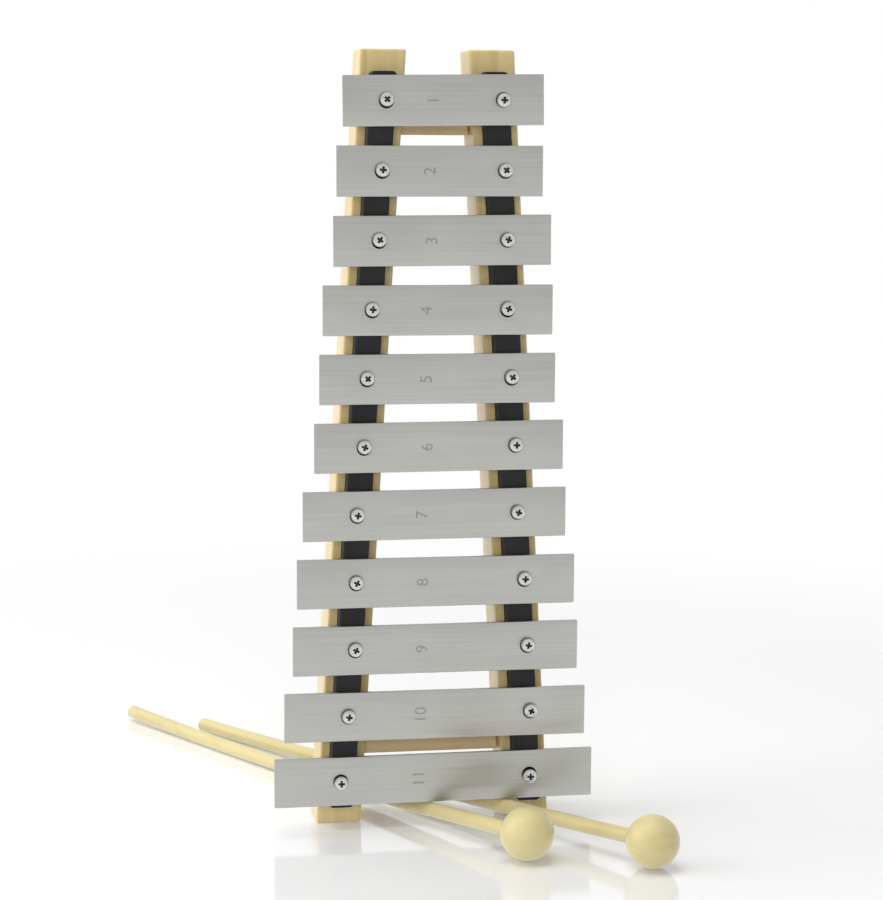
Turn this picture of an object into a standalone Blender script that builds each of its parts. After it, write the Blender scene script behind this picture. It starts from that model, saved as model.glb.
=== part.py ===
"""A metallophone stood on its wide end, with its pair of mallets lying on the floor through its frame.

Two wooden rails lean together towards the short bars and are joined by two braces on dowels.
A cushion strip runs down the front of each rail. Every tuned bar floats in front of the strips, on
collars that stand through its two holes, and a pan-head screw through each collar keeps the bar on.

Units are metres. +Z is up and the bars face -Y. Bars are numbered from the shortest, at the top.
"""
import math

import bmesh
import bpy
from mathutils import Matrix, Vector

MM = 0.001

# Bars
LONGEST_BAR = 163.6 * MM
BAR_WIDTH = 25.0 * MM
BAR_THICKNESS = 2.5 * MM
BAR_EDGE = 0.3 * MM
BAR_HOLE_RADIUS = 3.5 * MM
BAR_PITCH = 34.27 * MM
# Semitones of each bar above the longest one: a major scale, from the top bar down.
BAR_SEMITONES = (17, 16, 14, 12, 11, 9, 7, 5, 4, 2, 0)
BAR_COUNT = len(BAR_SEMITONES)

# The hand-drilled bars sit a little unevenly: sideways shift, and lean with the right end up.
BAR_SHIFTS = tuple(
    shift * MM for shift in (1.0, -0.5, 1.0, -1.0, -1.0, 0.0, -2.0, -1.0, -1.0, -1.0, -1.5)
)
BAR_LEANS = tuple(
    math.radians(lean) for lean in (0.8, 0.2, 0.4, 0.0, 0.0, 0.2, 0.2, 0.0, 0.0, -0.1, 0.2)
)

# Rails
RAIL_WIDTH = 22.9 * MM
RAIL_DEPTH = 27.0 * MM
RAIL_EDGE = 1.0 * MM
RAIL_SPACING_FOOT = 98.2 * MM
RAIL_SPACING_HEAD = 54.5 * MM
TOP_MARGIN = 24.8 * MM

# Braces between the rails, and the dowels that hold their ends
BRACE_HEIGHT = 18.0 * MM
BRACE_DEPTH = 16.0 * MM
BRACE_SETBACK = 10.2 * MM
BRACE_EDGE = 0.6 * MM
BOTTOM_BRACE_BASE = 33.3 * MM
TOP_BRACE_DROP = 42.2 * MM
DOWEL_RADIUS = 3.0 * MM
DOWEL_LENGTH = 24.0 * MM
DOWEL_CHAMFER = 0.6 * MM

# Cushion strips and the collars on them
STRIP_WIDTH = 12.8 * MM
STRIP_THICKNESS = 10.8 * MM
STRIP_END_MARGIN = 11.0 * MM
STRIP_EDGE = 0.4 * MM
STRIP_CORNER = 1.5 * MM
STRIP_SHIFT = -0.5 * MM
COLLAR_RADIUS = 2.6 * MM

# Screws
SCREW_RADIUS = 1.75 * MM
SCREW_LENGTH = 32.0 * MM
SCREW_POINT = 4.0 * MM
SCREW_HEAD_RADIUS = 3.6 * MM
SCREW_HEAD_HEIGHT = 2.3 * MM
SCREW_HEAD_RIM = 0.7 * MM
RECESS_SPAN = 3.9 * MM
RECESS_WIDTH = 1.0 * MM
RECESS_DEPTH = 1.3 * MM
RECESS_TAPER = 0.45
# Sideways wander of the drilled holes from each rail's centre line, top to bottom
LEFT_SCREW_SHIFTS = tuple(
    shift * MM for shift in (1.0, 1.0, 1.5, 0.0, -0.5, 0.0, -1.5, 0.0, 1.5, 0.0, -2.0)
)
RIGHT_SCREW_SHIFTS = tuple(
    shift * MM for shift in (2.0, 1.5, 1.0, -0.5, 0.0, 0.5, 0.0, 2.0, 2.0, 2.0, 0.0)
)
# Angle at which each screw came to rest when it was driven home
LEFT_SCREW_TURNS = tuple(math.radians(turn) for turn in (45, 5, 35, 5, 45, 20, 10, 25, 25, 10, 0))
RIGHT_SCREW_TURNS = tuple(math.radians(turn) for turn in (5, 40, 15, 20, 35, 0, 15, 5, 10, 25, 0))

# Mallets
HEAD_RADIUS = 13.2 * MM
SHAFT_RADIUS = 3.8 * MM
MALLET_LENGTH = 355.0 * MM
SHAFT_INSET = 15.0 * MM
SHAFT_END_ROUNDING = 1.6 * MM
# For each mallet: the place where it crosses the rails' front face, as a share of the clear width
# between the feet; its heading away from straight back; how far the head lies in front of that
# place; and the bow of its shaft
MALLET_CROSSINGS = (0.366, 0.860)
MALLET_HEADINGS = tuple(math.radians(heading) for heading in (30.2, 33.6))
MALLET_REACHES = (87.6 * MM, 116.4 * MM)
MALLET_BOWS = (4.2 * MM, 2.0 * MM)

# Clearances
SEAT_GAP = 0.3 * MM
BAR_FLOAT = 0.8 * MM
BAR_REST_GAP = 0.2 * MM
MALLET_PASS_GAP = 0.5 * MM

# Facets of the round pieces
HOLE_SIDES = 16
SHANK_SIDES = 12
COLLAR_SIDES = 12
HEAD_MERIDIANS = 24
HEAD_PARALLELS = 14
SHAFT_SIDES = 12
SHAFT_RINGS = 12

# Depths, measured from the rails' front face, which is Y = 0
STRIP_BACK_Y = -SEAT_GAP
STRIP_FRONT_Y = STRIP_BACK_Y - STRIP_THICKNESS
BAR_BACK_Y = STRIP_FRONT_Y - SEAT_GAP
BAR_FRONT_Y = BAR_BACK_Y - BAR_THICKNESS
SCREW_SEAT_Y = BAR_FRONT_Y - BAR_FLOAT - SEAT_GAP
COLLAR_FRONT_Y = SCREW_SEAT_Y + SEAT_GAP
SCREW_BORE_RADIUS = SCREW_RADIUS + SEAT_GAP
HANG = BAR_HOLE_RADIUS - COLLAR_RADIUS - BAR_REST_GAP


def remove_everything():
    """Clear the scene, so that the model starts from nothing."""
    for thing in list(bpy.data.objects):
        bpy.data.objects.remove(thing, do_unlink=True)


def principled(name, colour, roughness, metallic=0.0):
    """Return a Principled material."""
    material = bpy.data.materials.new(name)
    material.use_nodes = True
    shader = material.node_tree.nodes["Principled BSDF"]
    shader.inputs["Base Color"].default_value = (*colour, 1.0)
    shader.inputs["Roughness"].default_value = roughness
    shader.inputs["Metallic"].default_value = metallic
    return material


def mesh_from(bm, name):
    """Turn a finished bmesh into a mesh with its faces pointing out."""
    bmesh.ops.recalc_face_normals(bm, faces=bm.faces)
    mesh = bpy.data.meshes.new(name)
    bm.to_mesh(mesh)
    bm.free()
    return mesh


def place(name, mesh, parent=None, material=None, location=(0.0, 0.0, 0.0), rotation=(0.0, 0.0, 0.0)):
    """Make an object of a mesh and put it in the scene."""
    thing = bpy.data.objects.new(name, mesh)
    bpy.context.scene.collection.objects.link(thing)
    thing.location = location
    thing.rotation_euler = rotation
    thing.parent = parent
    if material is not None:
        mesh.materials.clear()
        mesh.materials.append(material)
    return thing


def pivot(name, parent=None, location=(0.0, 0.0, 0.0), rotation=(0.0, 0.0, 0.0)):
    """Make an empty that carries other objects."""
    empty = bpy.data.objects.new(name, None)
    bpy.context.scene.collection.objects.link(empty)
    empty.location = location
    empty.rotation_euler = rotation
    empty.parent = parent
    return empty


def baked(thing):
    """Replace an object's mesh by what its modifiers make of it."""
    bpy.context.view_layer.update()
    graph = bpy.context.evaluated_depsgraph_get()
    mesh = bpy.data.meshes.new_from_object(thing.evaluated_get(graph))
    mesh.name = thing.name
    thing.modifiers.clear()
    thing.data = mesh
    return thing


def bevelled(thing, width, segments=1):
    """Round or break the sharp edges of an object."""
    modifier = thing.modifiers.new("eased edges", "BEVEL")
    modifier.width = width
    modifier.segments = segments
    modifier.limit_method = "ANGLE"
    modifier.angle_limit = math.radians(30.0)
    return baked(thing)


def combined(thing, tool_mesh, operation):
    """Cut a tool's mesh out of an object, or join it on, in the object's own coordinates."""
    tool = place(thing.name + "_tool", tool_mesh, thing.parent)
    tool.matrix_local = thing.matrix_local
    tool.hide_render = True
    tool.display_type = "WIRE"
    modifier = thing.modifiers.new("cut or join", "BOOLEAN")
    modifier.operation = operation
    modifier.solver = "EXACT"
    modifier.object = tool
    baked(thing)
    bpy.data.objects.remove(tool, do_unlink=True)
    return thing


def smooth(thing, angle_degrees=35.0):
    """Shade a round piece smooth between its sharp edges."""
    thing.data.shade_smooth()
    thing.data.set_sharp_from_angle(angle=math.radians(angle_degrees))
    return thing


def slab_mesh(name, outline, front_y, back_y):
    """Extrude a closed outline of (x, z) points from one depth to another."""
    bm = bmesh.new()
    face = bm.faces.new([bm.verts.new((x, front_y, z)) for x, z in outline])
    extruded = bmesh.ops.extrude_face_region(bm, geom=[face])
    moved = [item for item in extruded["geom"] if isinstance(item, bmesh.types.BMVert)]
    bmesh.ops.translate(bm, verts=moved, vec=(0.0, back_y - front_y, 0.0))
    return mesh_from(bm, name)


def add_rod(bm, start, end, radius, sides, chamfer=0.0):
    """Add a closed round rod between two points, its ends chamfered if asked."""
    start = Vector(start)
    end = Vector(end)
    axis = end - start
    middle = Matrix.Translation((start + end) / 2.0)
    turn = axis.to_track_quat("Z", "Y").to_matrix().to_4x4()
    rod = bmesh.ops.create_cone(
        bm,
        cap_ends=True,
        segments=sides,
        radius1=radius,
        radius2=radius,
        depth=axis.length,
        matrix=middle @ turn,
    )
    if chamfer > 0.0:
        rims = {
            edge
            for vert in rod["verts"]
            for edge in vert.link_edges
            if any(len(face.verts) > 4 for face in edge.link_faces)
        }
        bmesh.ops.bevel(bm, geom=list(rims), offset=chamfer, segments=1, affect="EDGES")


def rods_mesh(name, rods, sides, chamfer=0.0):
    """Return one mesh that holds a closed rod for each (start, end, radius)."""
    bm = bmesh.new()
    for start, end, radius in rods:
        add_rod(bm, start, end, radius, sides, chamfer)
    return mesh_from(bm, name)


def tube_mesh(name, centres, tangents, radii, sides):
    """Skin a closed round tube along points, with its own radius at each."""
    bm = bmesh.new()
    rings = []
    for centre, tangent, radius in zip(centres, tangents, radii):
        side = Vector((0.0, 1.0, 0.0))
        across = tangent.cross(side).normalized()
        ring = []
        for step in range(sides):
            angle = 2.0 * math.pi * step / sides
            ring.append(bm.verts.new(centre + radius * (math.cos(angle) * side + math.sin(angle) * across)))
        rings.append(ring)
    for near, far in zip(rings, rings[1:]):
        for step in range(sides):
            after = (step + 1) % sides
            bm.faces.new((near[step], near[after], far[after], far[step]))
    bm.faces.new(rings[0])
    bm.faces.new(rings[-1])
    return mesh_from(bm, name)


def shaft_drop_to_touch(bow):
    """Height of a shaft's tail end when the shaft lies on the floor with this bow.

    A slightly bowed shaft touches the floor with its tail. One bowed further touches it in between,
    and its tail lifts.
    """
    fall = HEAD_RADIUS - SHAFT_RADIUS
    if bow <= fall / 4.0:
        return SHAFT_RADIUS
    return HEAD_RADIUS + 4.0 * bow - 4.0 * math.sqrt(bow * fall)


def shaft_height(bow, distance):
    """Height of a shaft's centre line above the floor, at a distance from the head's centre."""
    share = distance / MALLET_LENGTH
    chord = HEAD_RADIUS + (shaft_drop_to_touch(bow) - HEAD_RADIUS) * share
    return chord - 4.0 * bow * share * (1.0 - share)


def shaft_slope(bow, distance):
    """Rise of a shaft's centre line for each metre away from the head."""
    share = distance / MALLET_LENGTH
    chord = (shaft_drop_to_touch(bow) - HEAD_RADIUS) / MALLET_LENGTH
    return chord - 4.0 * bow * (1.0 - 2.0 * share) / MALLET_LENGTH


def lowest_bar_underside():
    """Height of the lowest bar's lower edge, which just clears the shafts that pass under it."""
    tops = []
    for heading, reach, bow in zip(MALLET_HEADINGS, MALLET_REACHES, MALLET_BOWS):
        distance = reach + (BAR_FRONT_Y - BAR_FLOAT) / math.cos(heading)
        tops.append(shaft_height(bow, distance) + SHAFT_RADIUS)
    return max(tops) + MALLET_PASS_GAP


LOWEST_SCREW_Z = lowest_bar_underside() + BAR_WIDTH / 2.0 - HANG
HIGHEST_SCREW_Z = LOWEST_SCREW_Z + BAR_PITCH * (BAR_COUNT - 1)
RAIL_HEIGHT = HIGHEST_SCREW_Z + TOP_MARGIN


def rail_centre(side, z):
    """X of a rail's centre line at a height. Side is -1 for the left rail and 1 for the right."""
    share = z / RAIL_HEIGHT
    return side * (RAIL_SPACING_FOOT + (RAIL_SPACING_HEAD - RAIL_SPACING_FOOT) * share) / 2.0


def screw_z(index):
    """Height of a bar's screws, counted from the top bar."""
    return HIGHEST_SCREW_Z - BAR_PITCH * index


def screw_x(side, index):
    """X of one of a bar's screws."""
    shifts = LEFT_SCREW_SHIFTS if side < 0 else RIGHT_SCREW_SHIFTS
    return rail_centre(side, screw_z(index)) + shifts[index]


def rods_on_screws(side, from_y, to_y, radius):
    """Rods along every screw's axis on one side of the frame."""
    rods = []
    for index in range(BAR_COUNT):
        x = screw_x(side, index)
        z = screw_z(index)
        rods.append(((x, from_y, z), (x, to_y, z), radius))
    return rods


def screw_bores(side, from_y, to_y):
    """Rods that drill the clearance holes for one rail's screws."""
    return rods_on_screws(side, from_y, to_y, SCREW_BORE_RADIUS)


def bar_length(index):
    """Length of a bar. A bar's pitch rises with the inverse square of its length."""
    return LONGEST_BAR * 2.0 ** (-BAR_SEMITONES[index] / 24.0)


def brace_bases():
    """Height of the lower edge of each brace."""
    return {"top": RAIL_HEIGHT - TOP_BRACE_DROP, "bottom": BOTTOM_BRACE_BASE}


def dowel_ends(side, base):
    """End points of the dowel through one end of a brace."""
    z = base + BRACE_HEIGHT / 2.0
    y = BRACE_SETBACK + BRACE_DEPTH / 2.0
    joint = rail_centre(side, z) - side * (RAIL_WIDTH / 2.0 + SEAT_GAP / 2.0)
    return (joint - DOWEL_LENGTH / 2.0, y, z), (joint + DOWEL_LENGTH / 2.0, y, z)


def grown(start, end, radius, gap):
    """Return a rod lengthened and thickened all round by a gap."""
    along = (Vector(end) - Vector(start)).normalized() * gap
    return Vector(start) - along, Vector(end) + along, radius + gap


def dowel_bores(side):
    """Rods that drill one rail's, or one end of both braces', dowel holes."""
    return [grown(*dowel_ends(side, base), DOWEL_RADIUS, SEAT_GAP) for base in brace_bases().values()]


def build_rail(name, side, frame, material):
    """Make a rail with its screw holes and dowel holes."""
    half = RAIL_WIDTH / 2.0
    foot = rail_centre(side, 0.0)
    head = rail_centre(side, RAIL_HEIGHT)
    outline = [
        (foot - half, 0.0),
        (foot + half, 0.0),
        (head + half, RAIL_HEIGHT),
        (head - half, RAIL_HEIGHT),
    ]
    rail = bevelled(place(name, slab_mesh(name, outline, 0.0, RAIL_DEPTH), frame, material), RAIL_EDGE, 2)
    screw_depth = SCREW_SEAT_Y + SCREW_LENGTH + SEAT_GAP
    bores = screw_bores(side, -RAIL_DEPTH, screw_depth)
    combined(rail, rods_mesh("screw holes", bores, SHANK_SIDES), "DIFFERENCE")
    return combined(rail, rods_mesh("dowel holes", dowel_bores(side), SHANK_SIDES), "DIFFERENCE")


def build_brace(name, base, frame, material):
    """Make a brace, its ends cut to the rails' lean, with a dowel hole in each end."""
    top = base + BRACE_HEIGHT
    reach = RAIL_WIDTH / 2.0 + SEAT_GAP
    outline = [
        (rail_centre(-1, base) + reach, base),
        (rail_centre(1, base) - reach, base),
        (rail_centre(1, top) - reach, top),
        (rail_centre(-1, top) + reach, top),
    ]
    mesh = slab_mesh(name, outline, BRACE_SETBACK, BRACE_SETBACK + BRACE_DEPTH)
    brace = bevelled(place(name, mesh, frame, material), BRACE_EDGE)
    holes = [grown(*dowel_ends(side, base), DOWEL_RADIUS, SEAT_GAP) for side in (-1, 1)]
    return combined(brace, rods_mesh("dowel holes", holes, SHANK_SIDES), "DIFFERENCE")


def build_dowel(name, side, base, frame, material):
    """Make the dowel in one end of a brace, its origin at its middle."""
    start, end = (Vector(point) for point in dowel_ends(side, base))
    middle = (start + end) / 2.0
    mesh = rods_mesh(name, [(start - middle, end - middle, DOWEL_RADIUS)], SHANK_SIDES, DOWEL_CHAMFER)
    return smooth(place(name, mesh, frame, material, middle))


def build_strip(name, side, frame, material):
    """Make a cushion strip with a collar for each bar and a bore for each screw."""
    low = STRIP_END_MARGIN
    high = RAIL_HEIGHT - STRIP_END_MARGIN
    half = STRIP_WIDTH / 2.0

    def corner(edge, z):
        return rail_centre(side, z) + STRIP_SHIFT + edge, z

    outline = [
        corner(-half + STRIP_CORNER, low),
        corner(half - STRIP_CORNER, low),
        corner(half, low + STRIP_CORNER),
        corner(half, high - STRIP_CORNER),
        corner(half - STRIP_CORNER, high),
        corner(-half + STRIP_CORNER, high),
        corner(-half, high - STRIP_CORNER),
        corner(-half, low + STRIP_CORNER),
    ]
    strip = place(name, slab_mesh(name, outline, STRIP_FRONT_Y, STRIP_BACK_Y), frame, material)
    bevelled(strip, STRIP_EDGE)
    inside_y = STRIP_BACK_Y - STRIP_THICKNESS / 2.0
    collars = rods_on_screws(side, inside_y, COLLAR_FRONT_Y, COLLAR_RADIUS)
    combined(strip, rods_mesh("collars", collars, COLLAR_SIDES), "UNION")
    bores = screw_bores(side, SCREW_SEAT_Y - SCREW_HEAD_HEIGHT, -STRIP_BACK_Y)
    return combined(strip, rods_mesh("screw bores", bores, SHANK_SIDES), "DIFFERENCE")


def bar_pose(index):
    """Centre and lean of a bar as it hangs on its collars, or rests on the shafts below it."""
    lean = BAR_LEANS[index]
    slack = abs(math.tan(lean)) * (screw_x(1, index) - screw_x(-1, index)) / 2.0
    lift = HANG - slack if index == BAR_COUNT - 1 else slack - HANG
    return (BAR_SHIFTS[index], (BAR_FRONT_Y + BAR_BACK_Y) / 2.0, screw_z(index) + lift), lean


def build_bar(name, index, frame, material):
    """Make a bar with its two holes, its origin at its centre."""
    centre, lean = bar_pose(index)
    half_length = bar_length(index) / 2.0
    half_width = BAR_WIDTH / 2.0
    half_thickness = BAR_THICKNESS / 2.0
    outline = [
        (-half_length, -half_width),
        (half_length, -half_width),
        (half_length, half_width),
        (-half_length, half_width),
    ]
    mesh = slab_mesh(name, outline, -half_thickness, half_thickness)
    bar = bevelled(place(name, mesh, frame, material, centre, (0.0, -lean, 0.0)), BAR_EDGE)
    holes = []
    for side in (-1, 1):
        x = (screw_x(side, index) - centre[0]) / math.cos(lean)
        holes.append(((x, -BAR_THICKNESS, 0.0), (x, BAR_THICKNESS, 0.0), BAR_HOLE_RADIUS))
    return smooth(combined(bar, rods_mesh("bar holes", holes, HOLE_SIDES), "DIFFERENCE"))


def screw_mesh(material):
    """Turn a pan-head screw along +Y from the seat of its head, and cut its cross recess."""
    dome_radius = SCREW_HEAD_RADIUS * 0.72
    shank_end = SCREW_LENGTH - SCREW_POINT
    profile = [
        (0.0, -SCREW_HEAD_HEIGHT),
        (dome_radius, -SCREW_HEAD_HEIGHT * 0.94),
        (SCREW_HEAD_RADIUS * 0.93, -SCREW_HEAD_HEIGHT * 0.68),
        (SCREW_HEAD_RADIUS, -SCREW_HEAD_RIM),
        (SCREW_HEAD_RADIUS, 0.0),
        (SCREW_RADIUS, 0.0),
        (SCREW_RADIUS, shank_end),
        (0.0, SCREW_LENGTH),
    ]
    bm = bmesh.new()
    verts = [bm.verts.new((radius, y, 0.0)) for radius, y in profile]
    edges = [bm.edges.new(pair) for pair in zip(verts, verts[1:])]
    bmesh.ops.spin(
        bm,
        geom=verts + edges,
        cent=(0.0, 0.0, 0.0),
        axis=(0.0, 1.0, 0.0),
        angle=2.0 * math.pi,
        steps=SHANK_SIDES,
        use_merge=True,
    )
    bmesh.ops.remove_doubles(bm, verts=bm.verts, dist=0.001 * MM)
    screw = place("screw", mesh_from(bm, "screw"), None, material)
    for turn in (0.0, math.pi / 2.0):
        blade = slab_mesh("recess blade", recess_blade_outline(), -RECESS_WIDTH / 2.0, RECESS_WIDTH / 2.0)
        blade.transform(Matrix.Rotation(turn, 4, "Y") @ Matrix.Rotation(math.pi / 2.0, 4, "X"))
        combined(screw, blade, "DIFFERENCE")
    smooth(screw, 25.0)
    mesh = screw.data
    bpy.data.objects.remove(screw, do_unlink=True)
    return mesh


def recess_blade_outline():
    """Outline of one blade of the cross recess, across the head and down into it."""
    half = RECESS_SPAN / 2.0
    mouth = 2.0 * SCREW_HEAD_HEIGHT
    floor = SCREW_HEAD_HEIGHT - RECESS_DEPTH
    return [(-half, mouth), (-half * RECESS_TAPER, floor), (half * RECESS_TAPER, floor), (half, mouth)]


def mallet_pose(index):
    """Place of a mallet's head centre on the floor, and its turn about Z.

    The mallet's own +X then runs back along its shaft, from the head to the tail.
    """
    inner = RAIL_SPACING_FOOT / 2.0 - RAIL_WIDTH / 2.0
    crossing_x = -inner + 2.0 * inner * MALLET_CROSSINGS[index]
    heading = MALLET_HEADINGS[index]
    reach = MALLET_REACHES[index]
    head = (crossing_x + reach * math.sin(heading), -reach * math.cos(heading), HEAD_RADIUS)
    return head, math.pi / 2.0 + heading


def build_shaft(name, bow, carrier, material):
    """Make a mallet's bowed shaft, from its seat in the head to its rounded tail."""
    start = HEAD_RADIUS - SHAFT_INSET
    straight_end = MALLET_LENGTH - SHAFT_END_ROUNDING
    distances = [start + (straight_end - start) * step / (SHAFT_RINGS - 1) for step in range(SHAFT_RINGS)]
    radii = [SHAFT_RADIUS] * SHAFT_RINGS
    for turn in (math.radians(35.0), math.radians(65.0)):
        distances.append(straight_end + SHAFT_END_ROUNDING * math.sin(turn))
        radii.append(SHAFT_RADIUS - SHAFT_END_ROUNDING * (1.0 - math.cos(turn)))
    distances.append(MALLET_LENGTH)
    radii.append(SHAFT_RADIUS - SHAFT_END_ROUNDING)
    centres = [Vector((distance, 0.0, shaft_height(bow, distance) - HEAD_RADIUS)) for distance in distances]
    tangents = [Vector((1.0, 0.0, shaft_slope(bow, distance))).normalized() for distance in distances]
    mesh = tube_mesh(name, centres, tangents, radii, SHAFT_SIDES)
    return smooth(place(name, mesh, carrier, material))


def build_head(name, bow, carrier, material):
    """Make a mallet's ball with the blind bore that its shaft sits in."""
    along = Vector((1.0, 0.0, shaft_slope(bow, 0.0))).normalized()
    bm = bmesh.new()
    bmesh.ops.create_uvsphere(
        bm,
        u_segments=HEAD_MERIDIANS,
        v_segments=HEAD_PARALLELS,
        radius=HEAD_RADIUS,
        matrix=along.to_track_quat("Z", "Y").to_matrix().to_4x4(),
    )
    head = place(name, mesh_from(bm, name), carrier, material)
    bore_start = along * (HEAD_RADIUS - SHAFT_INSET - SEAT_GAP)
    bore = (bore_start, along * (2.0 * HEAD_RADIUS), SHAFT_RADIUS + SEAT_GAP)
    return smooth(combined(head, rods_mesh("shaft bore", [bore], HOLE_SIDES), "DIFFERENCE"), 50.0)


def build_frame(frame, materials):
    """Make the rails, braces, dowels and cushion strips."""
    for label, side in (("left", -1), ("right", 1)):
        build_rail(label + "_rail", side, frame, materials[label + " rail"])
        build_strip(label + "_cushion_strip", side, frame, materials[label + " strip"])
    for level, base in brace_bases().items():
        build_brace(level + "_brace", base, frame, materials["brace"])
        for label, side in (("left", -1), ("right", 1)):
            build_dowel("dowel_" + level + "_" + label, side, base, frame, materials["dowel"])


def build_bars(frame, materials):
    """Make the bars and the screws that hold them."""
    mesh = screw_mesh(materials["screw"])
    for index in range(BAR_COUNT):
        number = "%02d" % (index + 1)
        build_bar("bar_" + number, index, frame, materials["bar"])
        for label, side, turns in (("left", -1, LEFT_SCREW_TURNS), ("right", 1, RIGHT_SCREW_TURNS)):
            seat = (screw_x(side, index), SCREW_SEAT_Y, screw_z(index))
            place("screw_" + number + "_" + label, mesh, frame, None, seat, (0.0, turns[index], 0.0))


def build_mallets(frame, materials):
    """Make the two mallets, each on an empty at its head's centre, turned along its shaft."""
    for index, bow in enumerate(MALLET_BOWS):
        name = "mallet_%d" % (index + 1)
        head, turn = mallet_pose(index)
        carrier = pivot(name, frame, head, (0.0, 0.0, turn))
        build_head(name + "_head", bow, carrier, materials["mallet head"])
        build_shaft(name + "_shaft", bow, carrier, materials["mallet shaft"])


def centre_on_floor(frame):
    """Move the whole part so that the middle of its base is the world's origin."""
    bpy.context.view_layer.update()
    corners = [
        thing.matrix_world @ vert.co
        for thing in bpy.data.objects
        if thing.type == "MESH"
        for vert in thing.data.vertices
    ]
    for axis in (0, 1):
        values = [corner[axis] for corner in corners]
        frame.location[axis] = -(min(values) + max(values)) / 2.0


def make_materials():
    """Return the part's materials by the piece that they are for."""
    return {
        "left rail": principled("left rail wood", (0.66, 0.52, 0.27), 0.62),
        "right rail": principled("right rail wood", (0.66, 0.51, 0.29), 0.62),
        "brace": principled("brace wood", (0.62, 0.42, 0.20), 0.64),
        "dowel": principled("dowel wood", (0.60, 0.45, 0.26), 0.6),
        "left strip": principled("left strip rubber", (0.025, 0.027, 0.027), 0.7),
        "right strip": principled("right strip rubber", (0.027, 0.026, 0.025), 0.7),
        "bar": principled("satin aluminium", (0.62, 0.62, 0.58), 0.38, 1.0),
        "screw": principled("zinc plate", (0.75, 0.77, 0.80), 0.25, 1.0),
        "mallet head": principled("mallet head", (0.78, 0.66, 0.38), 0.35),
        "mallet shaft": principled("mallet shaft", (0.80, 0.69, 0.42), 0.45),
    }


def main():
    """Build the metallophone and its mallets."""
    remove_everything()
    materials = make_materials()
    frame = pivot("metallophone")
    build_frame(frame, materials)
    build_bars(frame, materials)
    build_mallets(frame, materials)
    centre_on_floor(frame)


main()
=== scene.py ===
"""Looks of a standing metallophone and its two mallets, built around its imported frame.

The bars, screws and mallets are modelled here in full and stand for their CAD nodes. The rails,
braces, dowels and cushion strips keep their CAD shape and get their finishes here.
Units are metres, +Z is up and the bars face -Y.
"""

import logging
import math
from contextlib import contextmanager
from dataclasses import dataclass
from enum import Enum
from typing import Callable, Iterator, Sequence

import bmesh
import bpy
from mathutils import Matrix, Vector

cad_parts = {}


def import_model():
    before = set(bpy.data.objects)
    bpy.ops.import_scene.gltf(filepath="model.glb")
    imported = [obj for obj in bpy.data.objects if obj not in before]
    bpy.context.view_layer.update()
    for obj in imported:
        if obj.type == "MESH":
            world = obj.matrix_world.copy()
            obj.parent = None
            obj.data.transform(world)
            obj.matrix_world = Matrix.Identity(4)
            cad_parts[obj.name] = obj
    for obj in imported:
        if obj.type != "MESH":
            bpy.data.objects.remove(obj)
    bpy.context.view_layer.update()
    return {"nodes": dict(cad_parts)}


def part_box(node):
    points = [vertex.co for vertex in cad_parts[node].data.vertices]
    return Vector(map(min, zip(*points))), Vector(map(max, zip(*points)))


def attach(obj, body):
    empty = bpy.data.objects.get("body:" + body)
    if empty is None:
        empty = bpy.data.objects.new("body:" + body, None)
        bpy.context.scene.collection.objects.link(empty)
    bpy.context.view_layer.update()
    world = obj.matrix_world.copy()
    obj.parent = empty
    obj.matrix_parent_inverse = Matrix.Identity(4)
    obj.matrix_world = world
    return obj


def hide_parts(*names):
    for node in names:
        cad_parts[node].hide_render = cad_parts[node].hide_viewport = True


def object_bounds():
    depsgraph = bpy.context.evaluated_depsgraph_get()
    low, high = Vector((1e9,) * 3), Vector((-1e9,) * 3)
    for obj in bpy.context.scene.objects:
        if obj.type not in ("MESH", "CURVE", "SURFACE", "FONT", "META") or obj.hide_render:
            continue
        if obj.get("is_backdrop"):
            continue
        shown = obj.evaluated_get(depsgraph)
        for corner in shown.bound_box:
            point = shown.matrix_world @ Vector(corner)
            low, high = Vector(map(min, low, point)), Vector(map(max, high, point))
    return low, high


LOG = logging.getLogger("metallophone")
MM = 0.001

Colour = tuple[float, float, float]
Triple = tuple[float, float, float]
Stops = Sequence[tuple[float, Colour]]

OPAQUE = 1.0
WHITE = (1.0, 1.0, 1.0)
WHITE_LIGHT = (*WHITE, OPAQUE)


class Slot(Enum):
    """The record's material slot names for the new pieces, which dress is given and doesn't use."""

    BAR = "bar_aluminium"
    SCREW = "screw_zinc"
    MALLET = "mallet_wood"


class Side(Enum):
    """The two sides of the frame, as they are named on its pieces."""

    LEFT = "left"
    RIGHT = "right"


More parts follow.
